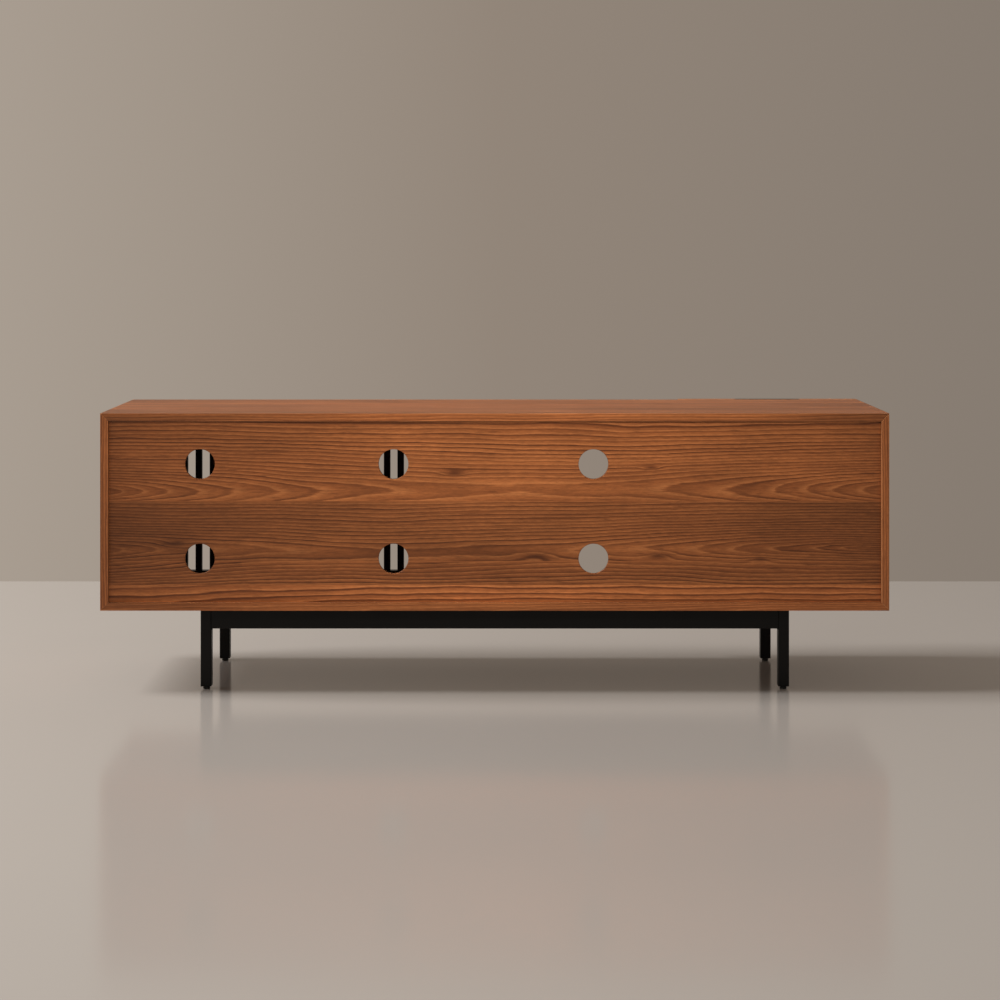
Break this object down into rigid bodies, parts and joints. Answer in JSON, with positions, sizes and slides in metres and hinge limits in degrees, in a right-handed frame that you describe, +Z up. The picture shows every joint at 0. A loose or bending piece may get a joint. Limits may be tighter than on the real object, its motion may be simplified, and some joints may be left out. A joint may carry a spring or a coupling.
{
  "type": "media cabinet",
  "caption": "Long low walnut media cabinet with black slatted doors, an open shelf bay and drawers on a black steel tube base.",
  "frame": {"origin": "on the floor, under the centre of the overall box", "axes": "+Z up, +X along the length to the right as seen from the front, the front with doors and drawers faces -Y and the back panel with its cable holes faces +Y"},
  "size_m": [1.8, 0.434, 0.64],
  "materials": {
    "walnut_veneer": "satin",
    "black_lacquered_wood": "matt lacquer",
    "black_steel": "fine texture powder coat",
    "zinc_plated_steel": "bright zinc",
    "birch_plywood": "clear lacquer",
    "beech": "raw",
    "bush_plastic": "plain",
    "black_plastic": "plain"
  },
  "bodies": {
    "case": {"case_top": "walnut_veneer", "case_bottom": "walnut_veneer", "case_side_left": "walnut_veneer", "case_side_right": "walnut_veneer", "case_back": "walnut_veneer", "partition_left": "walnut_veneer", "partition_centre": "walnut_veneer", "partition_right": "walnut_veneer", "shelf_open": "walnut_veneer", "shelf_inner": "walnut_veneer", "shelf_outer": "walnut_veneer", "shelf_pins": "zinc_plated_steel", "dowels": "beech", "corner_splines": "beech", "pivot_bushes": "bush_plastic", "magnet_catches": "black_plastic", "upper_runner_fixed": "zinc_plated_steel", "lower_runner_fixed": "zinc_plated_steel", "leg_front_left": "black_steel", "leg_front_right": "black_steel", "leg_rear_left": "black_steel", "leg_rear_right": "black_steel", "rail_front": "black_steel", "rail_rear": "black_steel", "rail_left": "black_steel", "rail_right": "black_steel", "base_tabs": "black_steel", "base_screws": "zinc_plated_steel", "leg_inserts": "black_plastic"},
    "outer_door": {"outer_door_stiles": "black_lacquered_wood", "outer_door_rails": "black_lacquered_wood", "outer_door_slats": "black_lacquered_wood", "outer_door_pivots": "zinc_plated_steel", "outer_door_strike": "zinc_plated_steel"},
    "inner_door": {"inner_door_stiles": "black_lacquered_wood", "inner_door_rails": "black_lacquered_wood", "inner_door_slats": "black_lacquered_wood", "inner_door_pivots": "zinc_plated_steel", "inner_door_strike": "zinc_plated_steel"},
    "upper_drawer": {"upper_drawer_front": "walnut_veneer", "upper_drawer_pull": "black_steel", "upper_box_front": "birch_plywood", "upper_box_sides": "birch_plywood", "upper_box_back": "birch_plywood", "upper_box_floor": "birch_plywood", "upper_runner_moving": "zinc_plated_steel"},
    "lower_drawer": {"lower_drawer_front": "walnut_veneer", "lower_drawer_pull": "black_steel", "lower_box_front": "birch_plywood", "lower_box_sides": "birch_plywood", "lower_box_back": "birch_plywood", "lower_box_floor": "birch_plywood", "lower_runner_moving": "zinc_plated_steel"},
    "upper_runners": {"upper_runner_middle": "zinc_plated_steel"},
    "lower_runners": {"lower_runner_middle": "zinc_plated_steel"},
    "foot_front_left": {"foot_front_left": "black_plastic"},
    "foot_front_right": {"foot_front_right": "black_plastic"},
    "foot_rear_left": {"foot_rear_left": "black_plastic"},
    "foot_rear_right": {"foot_rear_right": "black_plastic"}
  },
  "joints": [
    {"name": "outer_door_hinge", "type": "hinge", "parent": "case", "child": "outer_door", "pos_m": [0.865, -0.118, 0.208], "axis": [0, 0, 1], "range_deg": [0, 95]},
    {"name": "inner_door_hinge", "type": "hinge", "parent": "case", "child": "inner_door", "pos_m": [0.032, -0.118, 0.208], "axis": [0, 0, -1], "range_deg": [0, 95]},
    {"name": "upper_drawer_slide", "type": "slide", "parent": "case", "child": "upper_drawer", "axis": [0, -1, 0], "range_m": [0, 0.34]},
    {"name": "upper_runner_slide", "type": "slide", "parent": "case", "child": "upper_runners", "axis": [0, -1, 0], "range_m": [0, 0.17]},
    {"name": "lower_drawer_slide", "type": "slide", "parent": "case", "child": "lower_drawer", "axis": [0, -1, 0], "range_m": [0, 0.34]},
    {"name": "lower_runner_slide", "type": "slide", "parent": "case", "child": "lower_runners", "axis": [0, -1, 0], "range_m": [0, 0.17]},
    {"name": "foot_front_left_screw", "type": "slide", "parent": "case", "child": "foot_front_left", "axis": [0, 0, -1], "range_m": [0, 0.008]},
    {"name": "foot_front_right_screw", "type": "slide", "parent": "case", "child": "foot_front_right", "axis": [0, 0, -1], "range_m": [0, 0.008]},
    {"name": "foot_rear_left_screw", "type": "slide", "parent": "case", "child": "foot_rear_left", "axis": [0, 0, -1], "range_m": [0, 0.008]},
    {"name": "foot_rear_right_screw", "type": "slide", "parent": "case", "child": "foot_rear_right", "axis": [0, 0, -1], "range_m": [0, 0.008]}
  ],
  "couplings": [
    {"joint": "upper_runner_slide", "follows": "upper_drawer_slide", "ratio": 0.5},
    {"joint": "lower_runner_slide", "follows": "lower_drawer_slide", "ratio": 0.5}
  ]
}
